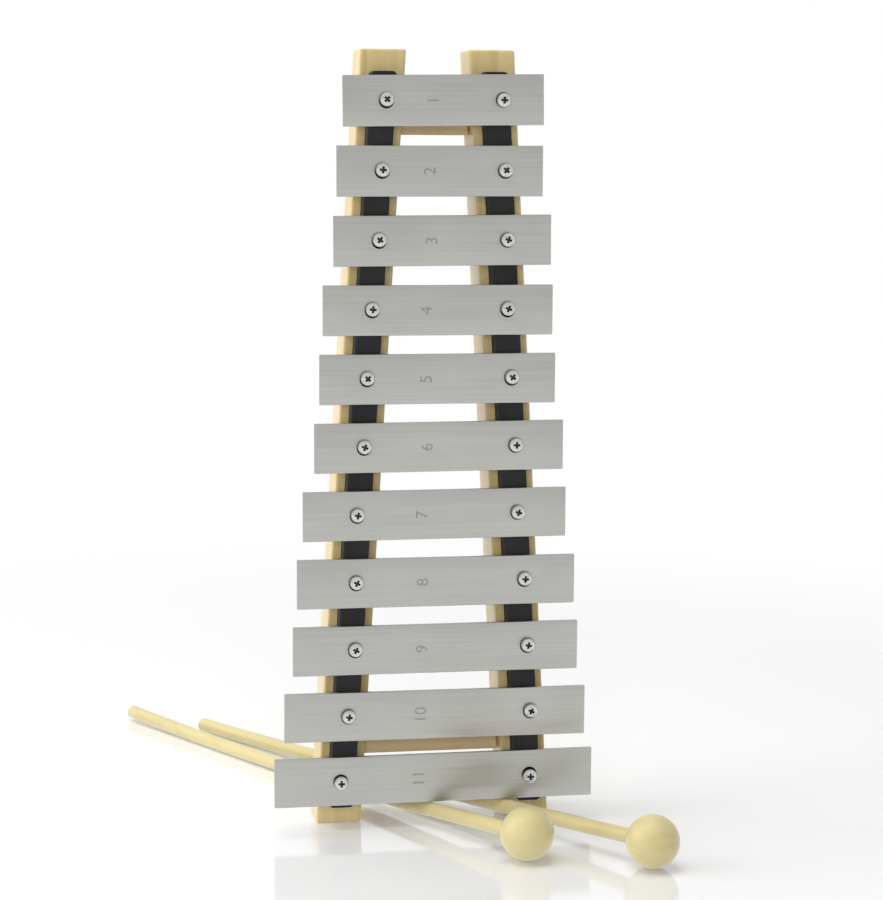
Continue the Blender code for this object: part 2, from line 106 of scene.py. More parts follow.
class Value:
    """A socket of a material, on which sums can be written."""

    def __init__(self, recipe: "Recipe", socket: bpy.types.NodeSocket | None) -> None:
        """Keep the socket and the recipe that it belongs to."""
        self.recipe = recipe
        self.socket = socket

    def _math(self, operation: str, first: "Value | float", second: "Value | float") -> "Value":
        """Add one Math node.

        Args:
            operation: The Math node's operation.
            first: Its first value.
            second: Its second value.

        Returns:
            The result's socket.
        """
        return self.recipe.node("ShaderNodeMath", {"operation": operation}, {0: first, 1: second})

    def __add__(self, other: "Value | float") -> "Value":
        """Sum of two values."""
        return self._math("ADD", self, other)

    def __radd__(self, other: float) -> "Value":
        """Sum of a number and this value."""
        return self._math("ADD", other, self)

    def __sub__(self, other: "Value | float") -> "Value":
        """Difference of two values."""
        return self._math("SUBTRACT", self, other)

    def __rsub__(self, other: float) -> "Value":
        """Difference of a number and this value."""
        return self._math("SUBTRACT", other, self)

    def __mul__(self, other: "Value | float") -> "Value":
        """Product of two values."""
        return self._math("MULTIPLY", self, other)

    def __rmul__(self, other: float) -> "Value":
        """Product of a number and this value."""
        return self._math("MULTIPLY", other, self)

    def at_most(self, other: "Value | float") -> "Value":
        """The smaller of two values."""
        return self._math("MINIMUM", self, other)

    def at_least(self, other: "Value | float") -> "Value":
        """The larger of two values."""
        return self._math("MAXIMUM", self, other)


class Recipe:
    """The node tree of one material or of the world."""

    MIX_FACTOR = 0
    MIX_FIRST_COLOUR = 6
    MIX_SECOND_COLOUR = 7
    MIX_COLOUR_RESULT = 2

    def __init__(self, tree: bpy.types.NodeTree) -> None:
        """Empty the tree and keep it."""
        self.tree = tree
        tree.nodes.clear()

    def node(
        self,
        kind: str,
        settings: dict[str, object] | None = None,
        inputs: dict[int | str, object] | None = None,
        output: int | str = 0,
    ) -> Value:
        """Add a node, set it up and feed it.

        Args:
            kind: The node's type.
            settings: Its properties. "stops" are a colour ramp's positions and colours.
            inputs: Numbers, colours or values for its sockets.
            output: The socket to return.

        Returns:
            The chosen output, or a value without a socket where the node has none.
        """
        made = self.tree.nodes.new(kind)
        for name, setting in (settings or {}).items():
            if name == "stops":
                self._set_stops(made, setting)
            else:
                setattr(made, name, setting)
        for key, given in (inputs or {}).items():
            if isinstance(given, Value):
                self.tree.links.new(given.socket, made.inputs[key])
            else:
                made.inputs[key].default_value = given
        return Value(self, made.outputs[output] if made.outputs else None)

    @staticmethod
    def _set_stops(ramp_node: bpy.types.Node, stops: Stops) -> None:
        """Give a colour ramp its stops.

        Args:
            ramp_node: The Color Ramp node.
            stops: Position and colour of each stop, in order.
        """
        elements = ramp_node.color_ramp.elements
        while len(elements) < len(stops):
            elements.new(1.0)
        for element, (position, colour) in zip(elements, stops):
            element.position = position
            element.color = (*colour, OPAQUE)

    def place(self, stretch: Triple) -> Value:
        """Object coordinates, multiplied along each axis.

        Args:
            stretch: Cycles for each metre along X, Y and Z.

        Returns:
            The stretched coordinates.
        """
        where = self.node("ShaderNodeTexCoord", output="Object")
        return self.node("ShaderNodeMapping", inputs={"Vector": where, "Scale": stretch})

    def noise(self, where: Value, detail: float, scale: float = 1.0, warp: float = 0.0) -> Value:
        """Noise at some coordinates.

        Args:
            where: The coordinates.
            detail: Octaves.
            scale: Cycles for each unit of the coordinates.
            warp: How far the noise distorts itself.

        Returns:
            Its value, from 0 to 1.
        """
        inputs = {"Vector": where, "Scale": scale, "Detail": detail, "Distortion": warp}
        return self.node("ShaderNodeTexNoise", None, inputs)

    def ramp(self, factor: Value, stops: Stops) -> Value:
        """A colour that follows a value.

        Args:
            factor: The value.
            stops: Position and colour of each stop.

        Returns:
            The colour.
        """
        return self.node("ShaderNodeValToRGB", {"stops": stops}, {"Fac": factor}, "Color")

    def multiply_colours(self, first: Value, second: Value) -> Value:
        """Multiply two colours.

        Args:
            first: The first colour.
            second: The second colour.

        Returns:
            Their product.
        """
        settings = {"data_type": "RGBA", "blend_type": "MULTIPLY"}
        inputs = {
            self.MIX_FACTOR: 1.0,
            self.MIX_FIRST_COLOUR: first,
            self.MIX_SECOND_COLOUR: second,
        }
        return self.node("ShaderNodeMix", settings, inputs, self.MIX_COLOUR_RESULT)

    def swing(self, level: float, wave: Value, reach: float) -> Value:
        """A level that a pattern moves up and down.

        Args:
            level: The middle level.
            wave: The pattern, from 0 to 1.
            reach: From the lowest to the highest level.

        Returns:
            The moving level.
        """
        return level + wave * reach - reach / 2.0

    def bump(self, height: Value, depth: float) -> Value:
        """A normal from a height.

        Args:
            height: The height, from 0 to 1.
            depth: What 1 is worth, in metres.

        Returns:
            The normal.
        """
        inputs = {"Height": height, "Distance": depth, "Strength": 1.0}
        return self.node("ShaderNodeBump", None, inputs)

    def ray(self, kind: str) -> Value:
        """Whether a ray is of one kind: Camera, Glossy or Transmission."""
        return self.node("ShaderNodeLightPath", output=f"Is {kind} Ray")

    def finish(self, inputs: dict[int | str, object]) -> None:
        """Add the Principled shader and the output.

        Args:
            inputs: What the shader's sockets get.
        """
        surface = self.node("ShaderNodeBsdfPrincipled", None, inputs)
        self.node("ShaderNodeOutputMaterial", None, {"Surface": surface})


def material_recipe(name: str) -> tuple[bpy.types.Material, Recipe]:
    """Make a material with an empty recipe.

    Args:
        name: The material's name.

    Returns:
        The material and its recipe.
    """
    material = bpy.data.materials.new(name)
    material.use_nodes = True
    return material, Recipe(material.node_tree)


@dataclass(frozen=True)
class Wood:
    """A planed or turned wood under a thin satin coat."""

    name: str
    pale: Colour
    middle: Colour
    dark: Colour
    grain: Triple
    roughness: float
    coat: float
    relief: float = 0.05 * MM
    figure_share: float = 0.72
    fibre_share: float = 0.28
    fibre_scale: float = 7.0
    fibre_swing: float = 0.14
    figure_warp: float = 0.6
    dark_at: float = 0.30
    middle_at: float = 0.47
    pale_at: float = 0.66
    patch_grain: Triple = (9.0, 9.0, 9.0)
    patch_shade: Colour = (0.90, 0.89, 0.86)
    patch_from: float = 0.25
    patch_to: float = 0.75
    coat_roughness: float = 0.22

    def material(self) -> bpy.types.Material:
        """Build the wood.

        Returns:
            The material.
        """
        material, recipe = material_recipe(self.name)
        along = recipe.place(self.grain)
        figure = recipe.noise(along, detail=3.0, warp=self.figure_warp)
        fibre = recipe.noise(along, detail=4.0, scale=self.fibre_scale)
        patch = recipe.noise(recipe.place(self.patch_grain), detail=2.0)
        tone = (figure * self.figure_share + fibre * self.fibre_share).at_most(1.0)
        tones = (
            (self.dark_at, self.dark),
            (self.middle_at, self.middle),
            (self.pale_at, self.pale),
        )
        colour = recipe.ramp(tone, tones)
        patches = ((self.patch_from, self.patch_shade), (self.patch_to, WHITE))
        shade = recipe.ramp(patch, patches)
        recipe.finish(
            {
                "Base Color": recipe.multiply_colours(colour, shade),
                "Roughness": recipe.swing(self.roughness, fibre, self.fibre_swing),
                "Coat Weight": self.coat,
                "Coat Roughness": self.coat_roughness,
                "Normal": recipe.bump(fibre, self.relief),
            }
        )
        return material


@dataclass(frozen=True)
class BrushedAluminium:
    """Satin aluminium, brushed along each bar."""

    name: str
    pale: Colour
    dark: Colour
    roughness: float
    fine_grain: Triple = (26.0, 900.0, 5200.0)
    broad_grain: Triple = (9.0, 120.0, 620.0)
    cloud_grain: Triple = (24.0, 24.0, 34.0)
    fine_share: float = 0.50
    broad_share: float = 0.22
    cloud_share: float = 0.28
    dark_at: float = 0.34
    pale_at: float = 0.62
    fine_swing: float = 0.16
    cloud_swing: float = 0.06
    relief: float = 0.004 * MM

    def material(self) -> bpy.types.Material:
        """Build the brushed metal.

        Returns:
            The material.
        """
        material, recipe = material_recipe(self.name)
        fine = recipe.noise(recipe.place(self.fine_grain), detail=3.0)
        broad = recipe.noise(recipe.place(self.broad_grain), detail=2.0)
        cloud = recipe.noise(recipe.place(self.cloud_grain), detail=2.0)
        tone = fine * self.fine_share + broad * self.broad_share + cloud * self.cloud_share
        tones = ((self.dark_at, self.dark), (self.pale_at, self.pale))
        brushed = recipe.swing(self.roughness, fine, self.fine_swing)
        recipe.finish(
            {
                "Base Color": recipe.ramp(tone, tones),
                "Metallic": 1.0,
                "Roughness": brushed + cloud * self.cloud_swing,
                "Normal": recipe.bump(fine, self.relief),
            }
        )
        return material


@dataclass(frozen=True)
class PlatedSteel:
    """Faintly mottled bright zinc plate; its darker copies carry painted shade in recesses."""

    name: str
    pale: Colour
    dark: Colour
    roughness: float
    mottle_grain: Triple = (900.0, 900.0, 900.0)
    mottle_swing: float = 0.12
    dark_at: float = 0.35
    pale_at: float = 0.65
    relief: float = 0.01 * MM

    def material(self) -> bpy.types.Material:
        """Build the plated metal.

        Returns:
            The material.
        """
        material, recipe = material_recipe(self.name)
        mottle = recipe.noise(recipe.place(self.mottle_grain), detail=3.0)
        tones = ((self.dark_at, self.dark), (self.pale_at, self.pale))
        recipe.finish(
            {
                "Base Color": recipe.ramp(mottle, tones),
                "Metallic": 1.0,
                "Roughness": recipe.swing(self.roughness, mottle, self.mottle_swing),
                "Normal": recipe.bump(mottle, self.relief),
            }
        )
        return material


@dataclass(frozen=True)
class SoftRubber:
    """Matt black cushion, faintly dusty and pitted."""

    name: str
    black: Colour
    dusty: Colour
    roughness: float
    pore_grain: Triple = (1500.0, 1500.0, 1500.0)
    dust_grain: Triple = (60.0, 60.0, 25.0)
    dust_share: float = 0.6
    pore_share: float = 0.4
    black_at: float = 0.35
    dusty_at: float = 0.70
    pore_swing: float = 0.2
    relief: float = 0.06 * MM

    def material(self) -> bpy.types.Material:
        """Build the cushion's finish.

        Returns:
            The material.
        """
        material, recipe = material_recipe(self.name)
        pores = recipe.noise(recipe.place(self.pore_grain), detail=3.0)
        dust = recipe.noise(recipe.place(self.dust_grain), detail=3.0)
        tone = dust * self.dust_share + pores * self.pore_share
        tones = ((self.black_at, self.black), (self.dusty_at, self.dusty))
        recipe.finish(
            {
                "Base Color": recipe.ramp(tone, tones),
                "Roughness": recipe.swing(self.roughness, pores, self.pore_swing),
                "Normal": recipe.bump(pores, self.relief),
            }
        )
        return material


RAIL_PINE = Wood(
    name="planed pine of the rails",
    pale=(0.74, 0.60, 0.31),
    middle=(0.69, 0.54, 0.25),
    dark=(0.58, 0.43, 0.17),
    grain=(150.0, 150.0, 7.0),
    roughness=0.42,
    coat=0.25,
)
# Paler than the rails' same pine: painted light for the braces, which sit in shade behind the bars.
BRACE_PINE_PAINTED_LIGHT = Wood(
    name="planed pine of the braces",
    pale=(0.88, 0.73, 0.47),
    middle=(0.84, 0.67, 0.40),
    dark=(0.74, 0.56, 0.30),
    grain=(7.0, 150.0, 150.0),
    roughness=0.48,
    coat=0.15,
)
DOWEL_WOOD = Wood(
    name="turned wood of the dowels",
    pale=(0.74, 0.60, 0.36),
    middle=(0.68, 0.52, 0.29),
    dark=(0.55, 0.40, 0.20),
    grain=(12.0, 260.0, 260.0),
    roughness=0.55,
    coat=0.0,
)
MALLET_WOOD = Wood(
    name="satin wood of the mallets",
    pale=(0.68, 0.59, 0.30),
    middle=(0.66, 0.57, 0.28),
    dark=(0.62, 0.52, 0.24),
    grain=(60.0, 28.0, 140.0),
    roughness=0.36,
    coat=0.35,
    relief=0.008 * MM,
)
BAR_METAL = BrushedAluminium(
    name="brushed aluminium",
    pale=(0.445, 0.445, 0.422),
    dark=(0.365, 0.365, 0.347),
    roughness=0.36,
)
# Darker, duller numbers: partly the struck metal, partly painted shade of the stamp's recess.
STAMP_METAL_AND_SHADE = PlatedSteel(
    name="stamped recess of the numbers",
    pale=(0.31, 0.31, 0.30),
    dark=(0.25, 0.25, 0.24),
    roughness=0.5,
)
SCREW_METAL = PlatedSteel(
    name="bright zinc plate",
    pale=(0.58, 0.59, 0.58),
    dark=(0.45, 0.46, 0.46),
    roughness=0.24,
)
# Near-black plate: painted shade in the screws' cross recesses, which are bare zinc.
RECESS_PAINTED_SHADE = PlatedSteel(
    name="shaded plate of the recess",
    pale=(0.07, 0.07, 0.07),
    dark=(0.04, 0.04, 0.04),
    roughness=0.5,
)
CUSHION_BLACK = SoftRubber(
    name="black cushion",
    black=(0.008, 0.009, 0.009),
    dusty=(0.020, 0.021, 0.020),
    roughness=0.85,
)


def deselect_everything() -> None:
    """Leave no object selected or active."""
    for thing in bpy.context.selected_objects:
        thing.select_set(False)
    bpy.context.view_layer.objects.active = None


def only(thing: bpy.types.Object) -> None:
    """Make one object the only selected and the active one.

    Args:
        thing: The object.
    """
    deselect_everything()
    thing.select_set(True)
    bpy.context.view_layer.objects.active = thing


@contextmanager
def editing(thing: bpy.types.Object) -> Iterator[None]:
    """Work on one object in edit mode.

    Args:
        thing: The object.

    Yields:
        Nothing.
    """
    only(thing)
    bpy.ops.object.mode_set(mode="EDIT")
    try:
        yield
    finally:
        bpy.ops.object.mode_set(mode="OBJECT")


def select_faces(thing: bpy.types.Object, wanted: Callable[[bmesh.types.BMFace], bool]) -> None:
    """In edit mode, select the faces that pass a test and no others.

    Args:
        thing: The object that is being edited.
        wanted: The test.
    """
    bpy.ops.mesh.select_mode(type="FACE")
    bpy.ops.mesh.select_all(action="DESELECT")
    shape = bmesh.from_edit_mesh(thing.data)
    for face in shape.faces:
        face.select_set(wanted(face))
    bmesh.update_edit_mesh(thing.data)


def apply_modifier(thing: bpy.types.Object, kind: str, **settings: object) -> None:
    """Add a modifier and apply it.

    Args:
        thing: The object.
        kind: The modifier's type.
        settings: Its properties.
    """
    only(thing)
    modifier = thing.modifiers.new(kind.lower(), kind)
    for name, setting in settings.items():
        setattr(modifier, name, setting)
    bpy.ops.object.modifier_apply(modifier=modifier.name)


def sized_block(name: str, size: Triple) -> bpy.types.Object:
    """Start a piece from a block of a given size, centred on the origin.

    Args:
        name: The object's name.
        size: Its lengths along X, Y and Z.

    Returns:
        The block.
    """
    deselect_everything()
    bpy.ops.mesh.primitive_cube_add(size=1.0, scale=size)
    block = bpy.context.active_object
    block.name = name
    bpy.ops.object.transform_apply(location=True, rotation=True, scale=True)
    return block


def loft(
    name: str, centres: Sequence[Vector], radii: Sequence[float], sides: int
) -> bpy.types.Object:
    """Extrude a disc along +X, ring by ring, into a closed turned body.

    Args:
        name: The object's name.
        centres: The rings' centres.
        radii: The rings' radii.
        sides: Points round each ring.

    Returns:
        The body.
    """
    deselect_everything()
    bpy.ops.mesh.primitive_circle_add(
        vertices=sides,
        radius=radii[0],
        fill_type="NGON",
        location=centres[0],
        rotation=(0.0, math.pi / 2.0, 0.0),
    )
    body = bpy.context.active_object
    body.name = name
    bpy.ops.object.transform_apply(location=True, rotation=True, scale=True)
    with editing(body):
        bpy.ops.mesh.select_all(action="SELECT")
        for before, after, old, new in zip(centres, centres[1:], radii, radii[1:]):
            bpy.ops.mesh.extrude_region_move(TRANSFORM_OT_translate={"value": after - before})
            share = new / old
            bpy.ops.transform.resize(value=(1.0, share, share), center_override=after)
        bpy.ops.mesh.select_all(action="SELECT")
        bpy.ops.mesh.normals_make_consistent(inside=False)
    return body


def turned(name: str, profile: Sequence[tuple[float, float]], sides: int) -> bpy.types.Object:
    """Turn a straight body about the X axis.

    Args:
        name: The object's name.
        profile: Place along X and radius of each ring.
        sides: Points round each ring.

    Returns:
        The body.
    """
    centres = [Vector((x, 0.0, 0.0)) for x, _ in profile]
    return loft(name, centres, [radius for _, radius in profile], sides)


def smooth_by_angle(thing: bpy.types.Object, degrees: float) -> None:
    """Shade an object smooth, with its sharp corners kept.

    Args:
        thing: The object.
        degrees: Least angle of a sharp corner.
    """
    only(thing)
    bpy.ops.object.shade_smooth_by_angle(angle=math.radians(degrees))


def cut_away(
    thing: bpy.types.Object, tool: bpy.types.Object, material_mode: str = "INDEX"
) -> None:
    """Take a tool's shape out of an object and remove the tool.

    Args:
        thing: The object.
        tool: The shape to take out.
        material_mode: Whether the cut keeps the object's finish or takes the tool's.
    """
    settings = {"operation": "DIFFERENCE", "solver": "EXACT", "material_mode": material_mode}
    apply_modifier(thing, "BOOLEAN", object=tool, **settings)
    bpy.data.objects.remove(tool, do_unlink=True)


def coat_with(thing: bpy.types.Object, material: bpy.types.Material) -> None:
    """Give an object one material in place of any that it has."""
    thing.data.materials.clear()
    thing.data.materials.append(material)


def middle_of(node: str) -> Vector:
    """Centre of a CAD node's box.

    Args:
        node: The node's name.

    Returns:
        The centre.
    """
    low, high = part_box(node)
    return (low + high) / 2.0


def dress(thing: bpy.types.Object, body: str, slot: Slot, *nodes: str) -> None:
    """Join a finished piece to the frame.

    Args:
        thing: The piece.
        body: The CAD body that it moves with.
        slot: The record's material slot; not used.
        nodes: The CAD nodes that it stands for.
    """
    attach(thing, body)
    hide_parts(*nodes)
    LOG.info("%s: %d faces on %s", thing.name, len(thing.data.polygons), body)


@dataclass
class WoodenFrame:
    """The rails, braces, dowels and cushion strips, which keep their CAD shape."""

    rail_nodes: tuple[str, ...] = ("left_rail", "right_rail")
    brace_nodes: tuple[str, ...] = ("top_brace", "bottom_brace")
    dowel_nodes: tuple[str, ...] = (
        "dowel_top_left",
        "dowel_top_right",
        "dowel_bottom_left",
        "dowel_bottom_right",
    )
    strip_nodes: tuple[str, ...] = ("left_cushion_strip", "right_cushion_strip")

    def build(self, nodes: dict[str, bpy.types.Object]) -> None:
        """Give each node its finish.

        Args:
            nodes: The frame's CAD nodes.
        """
        for names, finish in (
            (self.rail_nodes, RAIL_PINE),
            (self.brace_nodes, BRACE_PINE_PAINTED_LIGHT),
            (self.dowel_nodes, DOWEL_WOOD),
            (self.strip_nodes, CUSHION_BLACK),
        ):
            material = finish.material()
            for name in names:
                coat_with(nodes[name], material)
                LOG.info("%s: finished as %s", name, material.name)


@dataclass
class BarSet:
    """The tuned bars, with rounded edges, chamfered holes and stamped numbers.

    A number's place is a share of its bar's length, from the bar's middle. The leans are in
    degrees, from the top bar down.
    """

    width: float = 25.0 * MM
    thickness: float = 2.5 * MM
    edge: float = 0.35 * MM
    edge_segments: int = 3
    hole_radius: float = 3.5 * MM
    hole_chamfer: float = 0.3 * MM
    hole_sides: int = 48
    number_height: float = 8.6 * MM
    number_depth: float = 0.03 * MM
    number_place: float = -0.05
    number_curve_steps: int = 6
    sharp_angle: float = 32.0
    leans: tuple[float, ...] = (0.8, 0.2, 0.4, 0.0, 0.0, 0.2, 0.2, 0.0, 0.0, -0.1, 0.2)

    def _length(self, node: str, lean: float) -> float:
        """Length of a bar, from the box of its leaning CAD node.

        Args:
            node: The node's name.
            lean: Its lean, in radians.

        Returns:
            The bar's length.
        """
        low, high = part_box(node)
        return (high.x - low.x - self.width * math.sin(abs(lean))) / math.cos(lean)

    def _hole_tool(self, x: float) -> bpy.types.Object:
        """A cutter for one hole, flared at both faces.

        Args:
            x: The hole's place along the bar.

        Returns:
            The cutter.
        """
        reach = self.thickness / 2.0
        flare = self.hole_chamfer
        profile = (
            (-reach - flare, self.hole_radius + 2.0 * flare),
            (-reach + flare, self.hole_radius),
            (reach - flare, self.hole_radius),
            (reach + flare, self.hole_radius + 2.0 * flare),
        )
        tool = turned("hole", profile, self.hole_sides)
        through = Matrix.Rotation(math.pi / 2.0, 4, "Z")
        tool.data.transform(Matrix.Translation((x, 0.0, 0.0)) @ through)
        return tool

    def _blank(self, name: str, length: float) -> bpy.types.Object:
        """A bar with rounded edges and no holes.

        Args:
            name: The piece's name.
            length: The bar's length.

        Returns:
            The bar, at the origin.
        """
        bar = sized_block(name, (length, self.thickness, self.width))
        with editing(bar):
            bpy.ops.mesh.select_mode(type="EDGE")
            bpy.ops.mesh.select_all(action="SELECT")
            bpy.ops.mesh.bevel(
                offset=self.edge,
                offset_type="OFFSET",
                segments=self.edge_segments,
                profile=0.5,
                affect="EDGES",
            )
        return bar

    def _number(self, number: int, x: float) -> bpy.types.Object:
        """A bar's number, set sideways on its front face.

        Args:
            number: The number.
            x: Its place along the bar.

        Returns:
            The number, as a thin closed mesh.
        """
        deselect_everything()
        bpy.ops.object.text_add()
        text = bpy.context.active_object
        text.data.body = str(number)
        text.data.size = self.number_height
        text.data.align_x = "CENTER"
        text.data.align_y = "CENTER"
        text.data.extrude = self.number_depth / 2.0
        text.data.resolution_u = self.number_curve_steps
        bpy.ops.object.convert(target="MESH")
        text = bpy.context.active_object
        # The text's up runs along -X, and its face looks along -Y.
        sideways = (
            (0.0, -1.0, 0.0, x),
            (0.0, 0.0, -1.0, -self.thickness / 2.0),
            (1.0, 0.0, 0.0, 0.0),
            (0.0, 0.0, 0.0, 1.0),
        )
        text.data.transform(Matrix(sideways))
        return text

    def build(self) -> None:
        """Build every bar."""
        metal = BAR_METAL.material()
        # The numbers' darker plate is partly painted shade of the stamp's recess.
        stamp = STAMP_METAL_AND_SHADE.material()
        for number, degrees in enumerate(self.leans, start=1):
            node = f"bar_{number:02d}"
            lean = math.radians(degrees)
            length = self._length(node, lean)
            centre = middle_of(node)
            bar = self._blank(f"{node}_brushed", length)
            for side in Side:
                screw = middle_of(f"screw_{number:02d}_{side.value}")
                cut_away(bar, self._hole_tool((screw.x - centre.x) / math.cos(lean)))
            coat_with(bar, metal)
            figures = self._number(number, self.number_place * length)
            coat_with(figures, stamp)
            only(bar)
            figures.select_set(True)
            bpy.ops.object.join()
            bar.data.transform(Matrix.Translation(centre) @ Matrix.Rotation(-lean, 4, "Y"))
            smooth_by_angle(bar, self.sharp_angle)
            dress(bar, node, Slot.BAR, node)


@dataclass
class ScrewSet:
    """The pan-head screws with their cross recesses.

    The head's rings are shares of its height, from the seat, and of its radius. The turns are
    those of each recess, in degrees, from the top bar down.
    """

    head_radius: float = 3.6 * MM
    head_height: float = 2.3 * MM
    head_rings: tuple[tuple[float, float], ...] = (
        (-1.00, 0.30),
        (-0.99, 0.55),
        (-0.95, 0.72),
        (-0.86, 0.86),
        (-0.70, 0.95),
        (-0.48, 0.99),
        (-0.28, 1.00),
        (-0.05, 1.00),
        (0.00, 0.985),
    )
    shank_radius: float = 1.75 * MM
    tip_radius: float = 0.1 * MM
    length: float = 32.0 * MM
    point: float = 4.0 * MM
    recess_span: float = 4.8 * MM
    recess_width: float = 1.35 * MM
    recess_depth: float = 1.3 * MM
    recess_floor: Triple = (1.0, 0.42, 0.75)
    sides: int = 40
    sharp_angle: float = 28.0
    left_turns: tuple[int, ...] = (45, 5, 35, 5, 45, 20, 10, 25, 25, 10, 0)
    right_turns: tuple[int, ...] = (5, 40, 15, 20, 35, 0, 15, 5, 10, 25, 0)

    def _blade(self, turn: float, inside: bpy.types.Material) -> bpy.types.Object:
        """One blade of the cross recess, tapering down into the head.

        Args:
            turn: Its turn about the screw's axis.
            inside: The painted shade that it leaves on the recess's walls.

        Returns:
            The cutter.
        """
        size = (2.0 * self.recess_depth, self.recess_span, self.recess_width)
        blade = sized_block("recess", size)
        with editing(blade):
            select_faces(blade, lambda face: face.normal.x > 0.5)
            bpy.ops.transform.resize(
                value=self.recess_floor, center_override=(self.recess_depth, 0.0, 0.0)
            )
        coat_with(blade, inside)
        on_top = Matrix.Translation((-self.head_height, 0.0, 0.0))
        blade.data.transform(on_top @ Matrix.Rotation(turn, 4, "X"))
        return blade

    def _pattern(self) -> bpy.types.Object:
        """One screw along +X, with its head's seat at the origin.

        Returns:
            The screw.
        """
        profile = [
            (along * self.head_height, across * self.head_radius)
            for along, across in self.head_rings
        ]
        profile += [
            (0.0, self.shank_radius),
            (self.length - self.point, self.shank_radius),
            (self.length, self.tip_radius),
        ]
        screw = turned("screw pattern", profile, self.sides)
        coat_with(screw, SCREW_METAL.material())
        # The recess walls get near-black painted shade.
        inside = RECESS_PAINTED_SHADE.material()
        for turn in (0.0, math.pi / 2.0):
            cut_away(screw, self._blade(turn, inside), material_mode="TRANSFER")
        smooth_by_angle(screw, self.sharp_angle)
        return screw

    def build(self) -> None:
        """Build every screw from the one pattern."""
        pattern = self._pattern()
        along_y = Matrix.Rotation(math.pi / 2.0, 4, "Z")
        for side, turns in ((Side.LEFT, self.left_turns), (Side.RIGHT, self.right_turns)):
            for number, degrees in enumerate(turns, start=1):
                node = f"screw_{number:02d}_{side.value}"
                low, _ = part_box(node)
                seat = middle_of(node)
                seat.y = low.y + self.head_height
                screw = bpy.data.objects.new(f"{node}_plated", pattern.data.copy())
                bpy.context.scene.collection.objects.link(screw)
                spun = Matrix.Rotation(math.radians(degrees), 4, "X")
                screw.data.transform(Matrix.Translation(seat) @ along_y @ spun)
                dress(screw, "frame", Slot.SCREW, node)
        bpy.data.objects.remove(pattern, do_unlink=True)


@dataclass
class Mallet:
    """One ball-headed mallet on its slightly bowed shaft.

    The heading is in degrees, from +Y towards -X. The bow is how far the shaft's middle sags
    below the line from the head's centre to the tail.
    """

    number: int
    heading: float
    bow: float
    head_radius: float = 13.2 * MM
    head_rings: int = 30
    head_sides: int = 64
    pole_angle: float = 0.04
    shaft_radius: float = 3.8 * MM
    shaft_rings: int = 48
    shaft_sides: int = 40
    length: float = 355.0 * MM
    inset: float = 15.0 * MM
    end_rounding: float = 1.6 * MM
    end_angles: tuple[float, ...] = (15.0, 30.0, 45.0, 60.0, 75.0, 88.0)
    gap: float = 0.3 * MM
    mouth_rim: float = 0.35 * MM
    mouth_flare: float = 0.12 * MM
    mouth_depth: float = 0.15 * MM
    sharp_angle: float = 40.0

    def _tail_height(self) -> float:
        """Height of the tail's centre line: on the floor, or lifted by a deep bow.

        Returns:
            The height.
        """
        fall = self.head_radius - self.shaft_radius
        if self.bow <= fall / 4.0:
            return self.shaft_radius
        return self.head_radius + 4.0 * self.bow - 4.0 * math.sqrt(self.bow * fall)

    def _rise(self, distance: float) -> float:
        """Height of the shaft's centre line over the head's centre.

        Args:
            distance: Distance from the head's centre.

        Returns:
            The height, below 0 for a shaft that falls.
        """
        share = distance / self.length
        fall = (self._tail_height() - self.head_radius) * share
        return fall - 4.0 * self.bow * share * (1.0 - share)

    def _placed(self) -> Matrix:
        """The move from a mesh made along +X to the mallet's place.

        Returns:
            The matrix, which takes the origin to the head's centre.
        """
        centre = middle_of(f"mallet_{self.number}_head")
        centre.z = self.head_radius
        turn = Matrix.Rotation(math.pi / 2.0 + math.radians(self.heading), 4, "Z")
        return Matrix.Translation(centre) @ turn

    def _shaft(self) -> bpy.types.Object:
        """The shaft, from its seat in the head to its rounded tail.

        Returns:
            The shaft, along +X.
        """
        start = self.head_radius - self.inset
        straight_end = self.length - self.end_rounding
        distances = [
            start + (straight_end - start) * step / self.shaft_rings
            for step in range(self.shaft_rings + 1)
        ]
        radii = [self.shaft_radius] * len(distances)
        for degrees in self.end_angles:
            angle = math.radians(degrees)
            distances.append(straight_end + self.end_rounding * math.sin(angle))
            radii.append(self.shaft_radius - self.end_rounding * (1.0 - math.cos(angle)))
        centres = [Vector((distance, 0.0, self._rise(distance))) for distance in distances]
        return loft(f"mallet_{self.number}_shaft_turned", centres, radii, self.shaft_sides)

    def _head(self) -> bpy.types.Object:
        """The ball with the bore that the shaft sits in.

        Returns:
            The ball, its bore tipped to the shaft's slope.
        """
        bore = self.shaft_radius + self.gap
        last = math.pi - math.asin((bore + self.mouth_rim) / self.head_radius)
        angles = [
            self.pole_angle + (last - self.pole_angle) * step / self.head_rings
            for step in range(self.head_rings + 1)
        ]
        profile = [
            (-self.head_radius * math.cos(angle), self.head_radius * math.sin(angle))
            for angle in angles
        ]
        mouth, _ = profile[-1]
        profile += [
            (mouth, bore + self.mouth_flare),
            (mouth - self.mouth_depth, bore),
            (self.head_radius - self.inset - self.gap, bore),
        ]
        head = turned(f"mallet_{self.number}_head_turned", profile, self.head_sides)
        near = 1.0 * MM
        slope = self._rise(near) / near
        head.data.transform(Matrix.Rotation(-math.atan(slope), 4, "Y"))
        return head

    def build(self, wood: bpy.types.Material) -> None:
        """Build the mallet's two pieces.

        Args:
            wood: Their finish.
        """
        for piece, node in (
            (self._head(), f"mallet_{self.number}_head"),
            (self._shaft(), f"mallet_{self.number}_shaft"),
        ):
            piece.data.transform(self._placed())
            coat_with(piece, wood)
            smooth_by_angle(piece, self.sharp_angle)
            dress(piece, f"mallet_{self.number}", Slot.MALLET, node)


